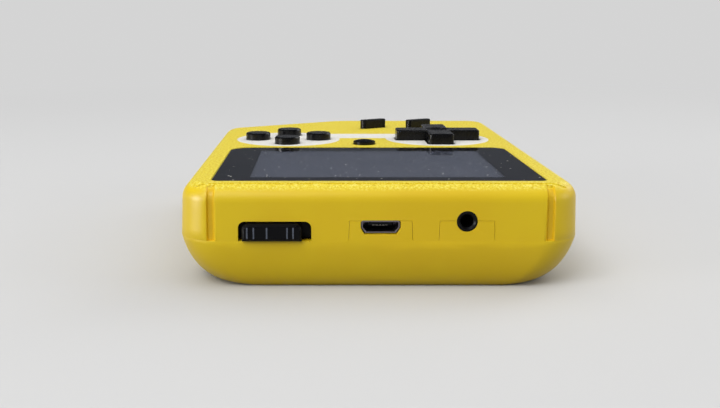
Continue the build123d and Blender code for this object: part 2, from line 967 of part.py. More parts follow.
def chip(place, x_size, y_size, height, leg_sides):
    """Moulded chip with a pin-one dimple, and legs on the sides that have them."""
    base = board_top + chip_stand_off
    top = board_top + height
    body = block(
        (place[0] - x_size / 2, place[0] + x_size / 2),
        (place[1] - y_size / 2, place[1] + y_size / 2),
        (base, top),
    )
    body = chamfer(body.faces().sort_by(Axis.Z)[-1].edges(), chip_stand_off)
    corner = chip_leg_reach + chip_leg_width
    dimple = disc(
        chip_leg_width, (top - chip_stand_off, top + overrun),
        place[0] - x_size / 2 + corner, place[1] - y_size / 2 + corner,
    )
    arm_height = base + (top - base) / 2
    legs = []
    if "x" in leg_sides:
        legs += chip_legs(place, x_size / 2, y_size, chip_leg_count, arm_height, False)
    if "y" in leg_sides:
        legs += chip_legs(place, y_size / 2, x_size, chip_leg_count, arm_height, True)
    return join([body - dimple] + legs)


def game_chip():
    return chip((game_chip_x, chip_row), game_chip_size, game_chip_size, game_chip_height, "xy")


def memory_chip():
    place = (memory_chip_x, chip_row)
    return chip(place, memory_chip_width, memory_chip_length, memory_chip_height, "x")


def charge_chip():
    place = (charge_chip_x, chip_row - charge_chip_setback)
    return chip(place, charge_chip_size, charge_chip_size, charge_chip_height, "")


def crystal():
    outline = SlotOverall(crystal_length, crystal_width)
    z_span = (board_top, board_top + crystal_height)
    place = (game_chip_x, chip_row - crystal_setback)
    can = prism(outline, z_span, *place)
    flange = SlotOverall(crystal_length + 2 * chip_leg_width, crystal_width + 2 * chip_leg_width)
    return can + prism(flange, (board_top, board_top + chip_leg_width), *place)


def small_parts():
    """Capacitor cans and rows of small chip parts."""
    solids = []
    for index in range(capacitor_count):
        from_end = chip_row - capacitor_setback + capacitor_pitch * index
        can = disc(capacitor_radius, (board_top, board_top + capacitor_height), capacitor_x, from_end)
        solids.append(chamfer(can.faces().sort_by(Axis.Z)[-1].edges(), chip_stand_off))
    for row in range(small_part_rows):
        for column in range(small_part_columns):
            x = small_part_x + small_part_pitch * column
            from_end = chip_row - small_part_setback + small_part_pitch * row
            solids.append(
                block(
                    (x - small_part_length / 2, x + small_part_length / 2),
                    (from_end - small_part_width / 2, from_end + small_part_width / 2),
                    (board_top, board_top + small_part_height),
                )
            )
    return join(solids)


# Silicone contact mats


def dome(x, from_end):
    height = dome_top - board_top - mat_thickness
    place = Pos(x, from_end - case_length / 2, board_top + mat_thickness)
    return place * Cone(
        dome_base_radius, dome_top_radius, height, align=(Align.CENTER, Align.CENTER, Align.MIN)
    )


def mat(outline, x, from_end, turn, dome_places):
    """Sheet on the board with a hollow dome under each button."""
    sheet = prism(outline, (board_top, board_top + mat_thickness), x, from_end, turn)
    sheet += join([dome(*place) for place in dome_places])
    pocket_top = board_top + press_travel + contact_spare
    pockets = [
        disc(dome_pocket_radius, (board_top - overrun, pocket_top), *place)
        for place in dome_places
    ]
    return sheet - join(pockets)


def action_mat():
    outline = RectangleRounded(action_mat_size, action_mat_size, mat_corner)
    return mat(outline, action_x, action_from_end, 0, action_places())


def pad_mat():
    """Mat with four domes and a stub in the middle that the cross pad rocks on."""
    outline = RectangleRounded(pad_mat_size, pad_mat_size, mat_corner)
    sheet = mat(outline, pad_x, pad_from_end, 0, pad_stud_places())
    return sheet + disc(pad_stub_radius, (board_top, pad_pivot_height()), pad_x, pad_from_end)


def menu_mat():
    (left_x, left_end), (right_x, right_end) = menu_places
    outline = RectangleRounded(
        right_x - left_x + 2 * menu_mat_margin, 2 * menu_mat_margin, mat_corner
    )
    return mat(outline, (left_x + right_x) / 2, (left_end + right_end) / 2, 0, menu_places)


def reset_mat():
    return mat(Circle(reset_mat_radius), reset_x, reset_from_end, 0, [(reset_x, reset_from_end)])


# Buttons


def round_button(x, from_end):
    top = face_height + action_height
    cap = disc(action_radius, (flange_top - flange_thickness, top), x, from_end)
    cap = chamfer(cap.faces().sort_by(Axis.Z)[-1].edges(), action_bevel)
    flange_span = (flange_top - flange_thickness, flange_top)
    flange = disc(action_radius + flange_reach, flange_span, x, from_end)
    stem = disc(dome_top_radius, (dome_top, flange_top), x, from_end)
    return cap + flange + stem


def menu_button(x, from_end):
    flange_base = flange_top - flange_thickness
    bar = prism(menu_outline(0), (flange_base, face_height + menu_height), x, from_end, menu_turn)
    bar = fillet(bar.faces().sort_by(Axis.Z)[-1].edges(), menu_edge)
    flange = prism(menu_outline(flange_reach), (flange_base, flange_top), x, from_end, menu_turn)
    return bar + flange + disc(dome_top_radius, (dome_top, flange_top), x, from_end)


def reset_button():
    """Button with a low domed top."""
    flange_base = flange_top - flange_thickness
    rim = face_height + reset_rim_height
    rise = reset_height - reset_rim_height
    ball_radius = (reset_radius**2 + rise**2) / (2 * rise)
    cap = disc(reset_radius, (flange_base, face_height + reset_height), reset_x, reset_from_end)
    ball_place = Pos(reset_x, reset_from_end - case_length / 2, rim + rise - ball_radius)
    cap &= ball_place * Sphere(ball_radius)
    flange = disc(reset_radius + flange_reach, (flange_base, flange_top), reset_x, reset_from_end)
    return cap + flange + disc(dome_top_radius, (dome_top, flange_top), reset_x, reset_from_end)


def pad_pivot_height():
    return ceiling - pad_flange_drop - flange_thickness


def pad_pits():
    """Row of small pits along each sideways arm."""
    top = face_height + pad_height
    for side in (-1, 1):
        for index in range(pad_pit_count):
            x = pad_x + side * (pad_pit_first + pad_pit_pitch * index)
            yield disc(pad_pit_radius, (top - pad_pit_depth, top + overrun), x, pad_from_end)


def pad_rings():
    """Two fine rings round the middle of the pad's dish."""
    top = face_height + pad_height
    z_span = (top - pad_ring_depth, top + overrun)
    for radius in pad_ring_radii:
        outer = disc(radius + pad_ring_width / 2, z_span, pad_x, pad_from_end)
        yield outer - disc(radius - pad_ring_width / 2, z_span, pad_x, pad_from_end)


def cross_pad():
    base = pad_pivot_height()
    top = face_height + pad_height
    cross = prism(cross_outline(0), (base, top), pad_x, pad_from_end)
    cross = fillet(cross.faces().sort_by(Axis.Z)[-1].edges(), pad_edge)
    dish_ball = (pad_dish_radius**2 + pad_dish_depth**2) / (2 * pad_dish_depth)
    ball_place = Pos(pad_x, pad_from_end - case_length / 2, top + dish_ball - pad_dish_depth)
    cross -= ball_place * Sphere(dish_ball)
    cross -= join([*pad_pits(), *pad_rings()])
    pad = cross + disc(pad_flange_radius, (base, base + flange_thickness), pad_x, pad_from_end)
    for x, from_end in pad_stud_places():
        pad += disc(pad_stud_radius, (dome_top, base + flange_thickness), x, from_end)
    return pad


# Power switch


def knob_plate_span():
    """Plate behind the wall; it covers the window at both ends of the travel."""
    return window_left - knob_plate_overlap - slider_travel, window_right + knob_plate_overlap


def knob_plate_near():
    """The wall leans inwards, so the plate clears it at the plate's top edge."""
    return wall + knob_plate_height * tan(radians(draft)) + knob_plate_gap


def knob_plate_far():
    return knob_plate_near() + knob_plate_thickness


def power_knob():
    """Grip with raised ribs, and the plate behind the wall that carries it."""
    floor = parting_height + knob_floor_gap
    outline = Pos(0, knob_height / 2) * Rectangle(knob_width, knob_height)
    outline = fillet(outline.vertices().sort_by(Axis.Y)[-2:], knob_corner)
    grip = end_prism(outline, knob_x, floor, (-knob_proud, knob_plate_near()))
    grip = chamfer(grip.faces().sort_by(Axis.Y)[0].edges(), knob_bevel)
    for share in knob_rib_shares:
        x = knob_x + share * knob_width
        x_span = (x - knob_rib_width / 2, x + knob_rib_width / 2)
        z_span = (floor + knob_rib_setback, floor + knob_height - knob_rib_setback)
        grip += block(x_span, (-knob_proud - knob_rib_rise, -knob_proud), z_span)
    plate = block(
        knob_plate_span(), (knob_plate_near(), knob_plate_far()), (floor, floor + knob_plate_height)
    )
    return grip + plate - lever_solid(knob_x, knob_plate_far() - knob_socket_depth)


def lever_height_span():
    low = board_top + switch_base_height + knob_plate_gap
    return low, low + lever_height


def lever_solid(x, near):
    x_span = (x - lever_width / 2, x + lever_width / 2)
    return block(x_span, (near, switch_from_end + switch_depth / 2), lever_height_span())


def switch_lever():
    """Lever of the slide switch, with its foot inside the switch body."""
    stem = lever_solid(knob_x, knob_plate_far() - knob_socket_depth)
    low, high = lever_height_span()
    half = lever_width / 2 + lever_foot
    foot_near = switch_from_end + switch_sheet + switch_slot_margin
    foot_far = switch_from_end + switch_depth - switch_sheet - switch_slot_margin
    foot = block((knob_x - half, knob_x + half), (foot_near, foot_far), (low, high))
    return stem + foot


def power_switch():
    """Folded metal case of the slide switch, open towards its base, with a slot for the lever."""
    x_span = (switch_x - switch_width / 2, switch_x + switch_width / 2)
    end_span = (switch_from_end, switch_from_end + switch_depth)
    can = block(x_span, end_span, (board_top, board_top + switch_height))
    sheet = switch_sheet
    room = block(
        (x_span[0] + sheet, x_span[1] - sheet),
        (end_span[0] + sheet, end_span[1] - sheet),
        (board_top - overrun, board_top + switch_height - sheet),
    )
    low, high = lever_height_span()
    slot_half = (lever_width + slider_travel) / 2 + switch_slot_margin
    slot = block(
        (switch_x - slot_half, switch_x + slot_half),
        (end_span[0] - overrun, end_span[0] + sheet + overrun),
        (low - switch_slot_margin, high + switch_slot_margin),
    )
    return can - room - slot


def power_switch_base():
    """Phenolic base inside the switch case, under the lever's foot."""
    inset = switch_sheet
    return block(
        (switch_x - switch_width / 2 + inset, switch_x + switch_width / 2 - inset),
        (switch_from_end + inset, switch_from_end + switch_depth - inset),
        (board_top, board_top + switch_base_height),
    )


# Sockets


def usb_shell():
    """Folded metal shell, closed at the back, with two feet on the board."""
    end_span = (usb_recess, usb_recess + usb_depth)
    skin = end_prism(usb_outline(0), usb_tab_x, board_top, end_span)
    room_span = (usb_recess - overrun, end_span[1] - usb_sheet)
    shell = skin - end_prism(usb_outline(-usb_sheet), usb_tab_x, board_top, room_span)
    for side in (-1, 1):
        inner = side * (usb_width / 2 - usb_sheet / 2)
        outer = side * (usb_width / 2 + usb_foot_width)
        x_span = (min(inner, outer), max(inner, outer))
        far = (end_span[1] - usb_foot_width, end_span[1])
        board_edge = wall + board_gap
        shell += block(x_span, (max(far[0], board_edge), far[1]), (board_top, board_top + usb_sheet))
        z_span = (board_top, board_top + usb_height / 2)
        wall_span = (min(inner, side * usb_width / 2), max(inner, side * usb_width / 2))
        shell += block(wall_span, far, z_span)
    return shell


def usb_tongue():
    """Plastic tongue with its block at the back of the shell."""
    back = usb_recess + usb_depth - usb_sheet
    top = board_top + usb_height - usb_sheet - usb_tongue_drop
    tongue = block(
        (usb_tab_x - usb_tongue_width / 2, usb_tab_x + usb_tongue_width / 2),
        (back - usb_tongue_length, back),
        (top - usb_tongue_height, top),
    )
    half = usb_width / 2 - usb_chamfer_width - usb_sheet
    filler = block(
        (usb_tab_x - half, usb_tab_x + half),
        (back - usb_block_length, back),
        (board_top + usb_sheet, board_top + usb_height - usb_sheet),
    )
    return tongue + filler


def usb_contacts():
    """Contacts on the underside of the tongue."""
    back = usb_recess + usb_depth - usb_sheet
    near = back - usb_tongue_length + usb_sheet
    far = back - usb_block_length
    top = board_top + usb_height - usb_sheet - usb_tongue_drop - usb_tongue_height
    first = usb_tab_x - usb_contact_pitch * (usb_contact_count - 1) / 2
    strips = []
    for index in range(usb_contact_count):
        x = first + usb_contact_pitch * index
        x_span = (x - usb_contact_width / 2, x + usb_contact_width / 2)
        strips.append(block(x_span, (near, far), (top - usb_contact_height, top)))
    return join(strips)


def av_jack():
    """Moulded jack body on the board with a round nose through the wall."""
    body_near = wall + board_gap
    body = block(
        (jack_x - jack_body_width / 2, jack_x + jack_body_width / 2),
        (body_near, body_near + jack_body_length),
        (board_top, jack_body_top),
    )
    nose = end_prism(Circle(jack_nose_radius), jack_x, jack_height, (jack_recess, body_near))
    bore_end = jack_recess + jack_bore_length
    bore = end_prism(Circle(jack_bore_radius), jack_x, jack_height, (jack_recess - overrun, bore_end))
    mouth_place = Pos(jack_x, jack_recess - case_length / 2, jack_height) * Rot(-90, 0, 0)
    mouth = mouth_place * Cone(
        jack_bore_radius + jack_lead_in, jack_bore_radius, jack_lead_in,
        align=(Align.CENTER, Align.CENTER, Align.MIN),
    )
    return body + nose - bore - mouth


def jack_contact():
    """Spring contact across the back of the jack's bore."""
    far = wall + board_gap + jack_body_length
    x_span = (jack_x - jack_contact_width / 2, jack_x + jack_contact_width / 2)
    foot_top = board_top + jack_contact_thickness
    blade = block(x_span, (far, far + jack_contact_thickness), (board_top, jack_height))
    return blade + block(x_span, (far, far + jack_contact_width), (board_top, foot_top))


# Speaker


def speaker_ring_profile(points):
    """Turns a profile given as radius and height into a solid on the speaker's axis."""
    face = Plane.XZ * make_face(Polyline(*points, close=True))
    return Pos(0, speaker_from_end - case_length / 2, 0) * revolve(face, Axis.Z)


def speaker_frame():
    floor, rim_top = wall, wall + speaker_rim_height
    top = wall + speaker_height - speaker_magnet_height
    sheet = speaker_rim_height / 2
    points = (
        (speaker_radius, floor),
        (speaker_radius, rim_top),
        (speaker_radius - speaker_rim_width, rim_top),
        (speaker_basket_radius, top),
        (0, top),
        (0, top - sheet),
        (speaker_basket_radius - sheet, top - sheet),
        (speaker_radius - speaker_rim_width - sheet, rim_top - sheet),
        (speaker_radius - speaker_rim_width - sheet, floor),
    )
    return speaker_ring_profile(points)


def speaker_magnet():
    top = wall + speaker_height
    span = (top - speaker_magnet_height, top)
    magnet = disc(speaker_magnet_radius, span, 0, speaker_from_end)
    return chamfer(magnet.faces().sort_by(Axis.Z)[-1].edges(), chip_stand_off)


def speaker_cone():
    """Thin membrane with a domed cap, held at the frame's rim."""
    outer = speaker_radius - speaker_rim_width - speaker_rim_height / 2
    rise = speaker_cap_rise
    floor = wall + speaker_rim_height / 2 - speaker_cone_thickness
    thickness = speaker_cone_thickness
    points = (
        (outer, floor),
        (outer, floor + thickness),
        (speaker_cap_radius, floor + rise),
        (0, floor + rise),
        (0, floor + rise - thickness),
        (speaker_cap_radius - thickness, floor + rise - thickness),
        (outer - speaker_cone_foot, floor),
    )
    return speaker_ring_profile(points)


# Screws


def screw(x, from_end, seat, head_radius, head_height, length):
    """Pan-head screw whose head hangs below its seat."""
    head = disc(head_radius, (seat - head_height, seat), x, from_end)
    head = chamfer(head.faces().sort_by(Axis.Z)[0].edges(), head_height * screw_bevel_share)
    shaft = disc(screw_shaft_radius, (seat, seat + length), x, from_end)
    for turn in (0, 90):
        cut = Rectangle(2 * head_radius * screw_cross_share, screw_slot_width)
        base = seat - head_height
        head -= prism(cut, (base - overrun, base + screw_slot_depth), x, from_end, turn)
    return head + shaft


def case_screws():
    head = (case_screw_head_radius, case_screw_head_height, case_screw_length)
    return join([screw(x, from_end, well_seat, *head) for x, from_end in case_screw_places])


def board_screws():
    head = (board_screw_head_radius, board_screw_head_height, board_screw_length)
    return join([screw(x, from_end, board_bottom, *head) for x, from_end in board_screw_places])


button_left, button_lower, button_right, button_upper = [round_button(*place) for place in action_places()]
start_button, select_button = [menu_button(*place) for place in menu_places]

nodes = {
    "front_shell": front_shell(),
    "back_shell": back_shell(),
    "battery_cover": battery_cover(),
    "screen_lens": screen_lens(),
    "lcd_gasket": lcd_gasket(),
    "lcd_glass": lcd_glass(),
    "lcd_backlight": lcd_backlight(),
    "lcd_ribbon": lcd_ribbon(),
    "ribbon_connector": ribbon_connector(),
    "main_board": main_board(),
    "game_chip": game_chip(),
    "memory_chip": memory_chip(),
    "charge_chip": charge_chip(),
    "crystal": crystal(),
    "small_parts": small_parts(),
    "action_mat": action_mat(),
    "pad_mat": pad_mat(),
    "menu_mat": menu_mat(),
    "reset_mat": reset_mat(),
    "button_left": button_left,
    "button_lower": button_lower,
    "button_right": button_right,
    "button_upper": button_upper,
    "cross_pad": cross_pad(),
    "select_button": select_button,
    "start_button": start_button,
    "reset_button": reset_button(),
    "power_knob": power_knob(),
    "switch_lever": switch_lever(),
    "power_switch": power_switch(),
    "power_switch_base": power_switch_base(),
    "usb_shell": usb_shell(),
    "usb_tongue": usb_tongue(),
    "usb_contacts": usb_contacts(),
    "av_jack": av_jack(),
    "jack_contact": jack_contact(),
    "speaker_frame": speaker_frame(),
    "speaker_magnet": speaker_magnet(),
    "speaker_cone": speaker_cone(),
    "battery": battery(),
    "battery_contacts": battery_contacts(),
    "case_screws": case_screws(),
    "board_screws": board_screws(),
}

os.makedirs("parts", exist_ok=True)
for name, shape in nodes.items():
    export_step(shape, f"parts/{name}.step")
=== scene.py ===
import bpy
import json
from math import radians
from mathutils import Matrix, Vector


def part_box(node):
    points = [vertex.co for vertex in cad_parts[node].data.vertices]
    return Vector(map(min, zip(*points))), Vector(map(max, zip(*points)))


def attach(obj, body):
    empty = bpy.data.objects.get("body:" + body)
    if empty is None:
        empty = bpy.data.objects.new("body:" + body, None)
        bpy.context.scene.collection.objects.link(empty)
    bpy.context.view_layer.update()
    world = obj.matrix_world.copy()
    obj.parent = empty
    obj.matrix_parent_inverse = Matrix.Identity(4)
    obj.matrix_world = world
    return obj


# A handheld game console lying on its back, seen from its socket end.
# Lengths are in millimetres unless a comment says metres; MM turns them to metres.

MM = 0.001

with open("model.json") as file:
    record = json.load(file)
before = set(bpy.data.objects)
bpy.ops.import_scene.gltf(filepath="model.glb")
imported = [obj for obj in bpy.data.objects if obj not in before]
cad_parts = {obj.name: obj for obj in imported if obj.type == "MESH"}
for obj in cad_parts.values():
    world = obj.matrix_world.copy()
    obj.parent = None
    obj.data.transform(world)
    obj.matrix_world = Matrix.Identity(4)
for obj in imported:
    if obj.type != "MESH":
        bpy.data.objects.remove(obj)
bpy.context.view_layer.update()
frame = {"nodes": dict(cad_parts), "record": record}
nodes = frame["nodes"]

# Camera, fitted to the case's corners in the photograph; its place is in metres
CAMERA_PLACE = (-11.785 * MM, -233.7 * MM, 53.65 * MM)
CAMERA_PITCH = radians(78.39)
CAMERA_LENS = 46.3
CAMERA_SENSOR = 36
CAMERA_SHIFT_X = 0.0549
CAMERA_CLIP = 1 * MM

# Face and screen, as in the solids
FACE_LOW, FACE_HIGH = 19.6, 20.6
VIEW_HALF_WIDTH = 26.3
VIEW_NEAR, VIEW_FAR = -46.2, -7.9

# Ink behind the lens: margin inside the lens's edge, gap above its lower side, thickness
MASK_MARGIN, MASK_GAP, MASK_THICKNESS = 0.02, 0.02, 0.03

# Grooves down the socket end, where a deeper yellow is painted as shade: middle from the centre
# line, half width, how far back they run
GROOVE_MIDDLE, GROOVE_HALF = 33.35, 0.85
GROOVE_FAR = -55.0

# White pads printed round the controls: middle x, middle y, radius; a plain band joins them
PRINT_DISCS = ((-20.3, 11.2, 13.6), (19.2, 11.8, 13.6))
PRINT_BAND = (13.0, 22.0)
PRINT_EDGE = 0.12

# Yellow plastic: roughness of the sides and the face, grain of the face, fine grain all over
SIDE_ROUGH, FACE_ROUGH = 0.38, 0.5
GRAIN_PER_MM, GRAIN_DEPTH, GRAIN_STRENGTH = 2.0, 0.3, 0.4
FINE_PER_MM, FINE_DEPTH, FINE_STRENGTH = 7.0, 0.008, 0.2

# Painted highlight on the rib tips of the knob: how far behind its front this lighter tone starts to
# go, and has gone
RIB_FRONT_GAP, RIB_BACK_GAP = 0.01, 0.06

# Dust on the lens: specks per millimetre, radius as a share of their spacing, how well it covers
DUST_PER_MM, DUST_SIZE, DUST_COVER = 0.36, 0.11, 0.75

# Screen: how fast its rows and columns repeat, in radians per millimetre
PIXEL_TURN = 12.0

# Most of a noise lies between these values
NOISE_SPREAD = (0.3, 0.7)

# Colours as sRGB
YELLOW = (242, 208, 20)
YELLOW_DEEP = (236, 196, 14)
# Painted light: a lighter lemon yellow on the face for the sheen it catches from above
FACE_SHEEN_YELLOW = (242, 219, 44)
# Painted shade in the pits of the face's grain, and painted glints on the tips of the grain
GRAIN_PIT_SHADE = (220, 186, 18)
GRAIN_TIP_GLINT = (252, 240, 124)
# Painted shade: a deeper yellow laid in the grooves down the socket end
GROOVE_PAINTED_SHADE = (237, 196, 20)
PRINT_WHITE = (246, 244, 238)
# Painted shade: the print greyed in the pits of the grain
PRINT_PIT_SHADE = (228, 224, 212)
BLACK = (10, 10, 12)
BLACK_MATT = (9, 9, 12)
BLACK_DUST = (130, 128, 124)
# Painted highlight on the knob's rib tips
RIB_TIP_HIGHLIGHT = (104, 110, 124)
LENS_CLEAR = (250, 250, 252)
LENS_TINTED = (244, 245, 248)
LENS_DUST = (205, 205, 200)
LCD_FIELD = (86, 91, 106)
LCD_LINES = (74, 79, 94)
INK = (7, 8, 12)
INK_LIGHT = (10, 11, 16)

# Plain plastics by slot: colour, roughness, depth of the grain
PLAIN_PLASTICS = {
    "white_plastic": ((228, 228, 224), 0.4, 0.01),
    "foam": ((38, 38, 40), 0.9, 0.08),
    "flex": ((190, 110, 35), 0.35, 0.01),
    "connector_plastic": ((222, 214, 190), 0.5, 0.01),
    "board": ((22, 92, 48), 0.35, 0.01),
    "chip_black": ((26, 26, 28), 0.55, 0.02),
    "small_parts": ((120, 104, 84), 0.5, 0.01),
    "silicone": ((196, 198, 196), 0.6, 0.01),
    "phenolic": ((138, 96, 54), 0.6, 0.01),
    "cone_film": ((30, 30, 32), 0.6, 0.02),
    "battery_wrap": ((62, 70, 84), 0.35, 0.01),
}

# Metals by slot: colour, roughness
METALS = {
    "can_metal": ((200, 200, 204), 0.25),
    "steel": ((186, 186, 190), 0.28),
    "brass": ((226, 190, 106), 0.25),
    "magnet": ((92, 92, 96), 0.4),
}

# Width of the rounding on the moulded edges of each piece
SOFT_EDGES = {
    "front_shell": 0.12,
    "back_shell": 0.12,
    "battery_cover": 0.12,
    "screen_lens": 0.08,
    "power_knob": 0.12,
    "cross_pad": 0.22,
    "select_button": 0.2,
    "start_button": 0.2,
}
SOFT_ANGLE = radians(28)
SOFT_STEPS = 2
WELD_REACH = 0.001

# Studio in linear light: the floor as seen and as it lights the part, where it fades into the
# backdrop, the wall that rises behind the horizon, and the light from all round
FLOOR_SEEN = 0.64
FLOOR_BOUNCE = 0.2
FLOOR_FAR = (180.0, 520.0)
HORIZON = 0.66
UPPER_WALL = (0.075, 0.08, 0.094, 1.0)
WALL_RISE = (0.02, 0.14)
FILL = 0.3

# Floor's side in metres, and lamps: place and size in metres, power in watts
FLOOR_SIDE = 24
LAMPS = {
    "overhead": ((0.0, 0.3, 1.8), (2.6, 2.6), 18.0),
    "far_right": ((0.9, 0.8, 0.7), (0.8, 0.8), 4.5),
    "key": ((-0.6, -0.9, 1.1), (0.9, 0.9), 11.0),
    "left_window": ((-0.7, -0.3, 0.16), (0.3, 0.24), 1.3),
    "right_window": ((0.75, -0.12, 0.25), (0.4, 0.3), 0.9),
    "gloss_card": ((-0.66, -0.24, 0.07), (0.26, 0.16), 2.2),
}
LAMP_AIM = (0, 0, 10 * MM)

# Sockets of a Mix node that mixes colours
MIX_FIRST, MIX_SECOND, MIX_RESULT = 6, 7, 2


def linear(rgb):
    """sRGB numbers from 0 to 255 as a linear colour with alpha."""
    shares = [value / 255 for value in rgb]
    return [s / 12.92 if s <= 0.04045 else ((s + 0.055) / 1.055) ** 2.4 for s in shares] + [1.0]


def darker(rgb, share):
    return [value * share for value in rgb]


def grey(value):
    return (value, value, value, 1.0)


class Tree:
    """Small builder for a node tree."""

    def __init__(self, tree):
        self.tree = tree

    def node(self, kind, **settings):
        made = self.tree.nodes.new(kind)
        for key, value in settings.items():
            setattr(made, key, value)
        return made

    def put(self, value, socket):
        """Link an output to a socket, or set the socket to a constant."""
        if isinstance(value, bpy.types.NodeSocket):
            self.tree.links.new(value, socket)
        else:
            socket.default_value = value

    def fed(self, made, *values):
        """A node whose first inputs get these values, in order."""
        for value, socket in zip(values, made.inputs):
            self.put(value, socket)
        return made

    def split(self, vector):
        return self.fed(self.node("ShaderNodeSeparateXYZ"), vector).outputs

    def math(self, operation, *values):
        return self.fed(self.node("ShaderNodeMath", operation=operation), *values).outputs[0]

    def length(self, across, along):
        """Length of a flat vector."""
        squares = [self.math("MULTIPLY", part, part) for part in (across, along)]
        return self.math("SQRT", self.math("ADD", *squares))

    def ramp(self, value, start, end, at_start=0.0, at_end=1.0):
        """Smooth step between two values of the input."""
        made = self.node("ShaderNodeMapRange", interpolation_type="SMOOTHSTEP")
        return self.fed(made, value, start, end, at_start, at_end).outputs[0]

    def spread(self, noise, low, high):
        """A noise turned to values between low and high."""
        return self.ramp(noise, *NOISE_SPREAD, low, high)

    def mix(self, share, first, second):
        """Mix of two colours."""
        made = self.node("ShaderNodeMix", data_type="RGBA")
        self.put(share, made.inputs["Factor"])
        self.put(first, made.inputs[MIX_FIRST])
        self.put(second, made.inputs[MIX_SECOND])
        return made.outputs[MIX_RESULT]

    def blend(self, share, first, second):
        """Mix of the first outputs of two shader nodes."""
        shaders = (first.outputs[0], second.outputs[0])
        return self.fed(self.node("ShaderNodeMixShader"), share, *shaders)


class Shader(Tree):
    """Node tree of one material; x, y and z are the place on the object in millimetres."""

    def __init__(self, name):
        self.material = bpy.data.materials.new(name)
        self.material.use_nodes = True
        super().__init__(self.material.node_tree)
        self.bsdf = self.tree.nodes["Principled BSDF"]
        self.output = self.tree.nodes["Material Output"]
        scaled = self.node("ShaderNodeVectorMath", operation="SCALE")
        self.put(self.node("ShaderNodeTexCoord").outputs["Object"], scaled.inputs[0])
        self.put(1 / MM, scaled.inputs["Scale"])
        self.place = scaled.outputs[0]
        self.x, self.y, self.z = self.split(self.place)

    def noise(self, per_mm, detail=2.0, roughness=0.5, stretch=None):
        made = self.node("ShaderNodeTexNoise")
        place = self.place
        if stretch:
            scaled = self.node("ShaderNodeVectorMath", operation="MULTIPLY")
            place = self.fed(scaled, place, stretch).outputs[0]
        self.put(place, made.inputs["Vector"])
        self.put(per_mm, made.inputs["Scale"])
        self.put(detail, made.inputs["Detail"])
        self.put(roughness, made.inputs["Roughness"])
        return made.outputs["Fac"]

    def bump(self, height, depth, strength, under=None):
        """Bumps of a depth in millimetres, on top of other bumps if they are given."""
        made = self.node("ShaderNodeBump")
        self.put(strength, made.inputs["Strength"])
        self.put(depth * MM, made.inputs["Distance"])
        self.put(height, made.inputs["Height"])
        if under is not None:
            self.put(under, made.inputs["Normal"])
        return made.outputs[0]

    def set(self, **sockets):
        """Set sockets of the Principled shader; underscores stand for spaces."""
        for name, value in sockets.items():
            self.put(value, self.bsdf.inputs[name.replace("_", " ")])
        return self.material

    def surface(self, shader):
        """Give the material this shader node in place of the Principled one."""
        self.put(shader.outputs[0], self.output.inputs["Surface"])
        return self.material


def disc_mask(s, x, y, radius):
    """1 inside a circle on the face, 0 outside."""
    distance = s.length(s.math("SUBTRACT", s.x, x), s.math("SUBTRACT", s.y, y))
    return s.ramp(distance, radius - PRINT_EDGE, radius + PRINT_EDGE, at_start=1.0, at_end=0.0)


def band_mask(s):
    """1 in the plain band between the middles of the two printed discs."""
    (left, *_), (right, *_) = PRINT_DISCS
    low, high = PRINT_BAND
    share = s.ramp(s.y, low - PRINT_EDGE, low + PRINT_EDGE)
    edges = (
        s.ramp(s.y, high - PRINT_EDGE, high + PRINT_EDGE, at_start=1.0, at_end=0.0),
        s.math("GREATER_THAN", s.x, left),
        s.math("LESS_THAN", s.x, right),
    )
    for edge in edges:
        share = s.math("MULTIPLY", share, edge)
    return share


def groove_shade_mask(s):
    """1 inside the two grooves down the socket end, where shade is painted, 0 elsewhere."""
    from_middle = s.math("SUBTRACT", s.math("ABSOLUTE", s.x), GROOVE_MIDDLE)
    across = s.math("ABSOLUTE", from_middle)
    inner, outer = GROOVE_HALF - PRINT_EDGE, GROOVE_HALF + PRINT_EDGE
    inside = s.ramp(across, inner, outer, at_start=1.0, at_end=0.0)
    return s.math("MULTIPLY", inside, s.math("LESS_THAN", s.y, GROOVE_FAR))


def grained_colour(s, face, grain):
    """Yellow with slow changes of tone, a lighter lemon yellow on the face as painted sheen, and
    painted shade in the pits and painted glints on the tips of the face's grain.
    """
    cloudy = s.ramp(s.noise(per_mm=0.05, detail=3.0), start=0.35, end=0.65, at_end=0.6)
    colour = s.mix(cloudy, linear(YELLOW), linear(YELLOW_DEEP))
    # Painted light: the face is given a lighter lemon yellow for its sheen
    colour = s.mix(face, colour, linear(FACE_SHEEN_YELLOW))
    # Painted shade in the grain's pits and painted glints on its tips
    painted_pit_shade = s.math("MULTIPLY", s.ramp(grain, start=0.36, end=0.5, at_start=0.9, at_end=0.0), face)
    painted_tip_highlight = s.math("MULTIPLY", s.ramp(grain, start=0.5, end=0.64, at_end=0.8), face)
    colour = s.mix(painted_pit_shade, colour, linear(GRAIN_PIT_SHADE))
    return s.mix(painted_tip_highlight, colour, linear(GRAIN_TIP_GLINT))


def printed_colour(s, colour, face, grain):
    """The colour with the white print on the face, greyed by painted shade in the deepest pits, and
    painted shade in the grooves.
    """
    mask = band_mask(s)
    for disc in PRINT_DISCS:
        mask = s.math("MAXIMUM", mask, disc_mask(s, *disc))
    ragged = s.ramp(grain, start=0.26, end=0.36)
    mask = s.math("MULTIPLY", s.math("MULTIPLY", mask, face), ragged)
    # Painted shade: the print is greyed in the pits of the grain
    painted_light_share = s.ramp(grain, start=0.36, end=0.56, at_start=0.6, at_end=0.0)
    colour = s.mix(mask, colour, s.mix(painted_light_share, linear(PRINT_WHITE), linear(PRINT_PIT_SHADE)))
    # Painted shade in the grooves down the socket end
    return s.mix(groove_shade_mask(s), colour, linear(GROOVE_PAINTED_SHADE))


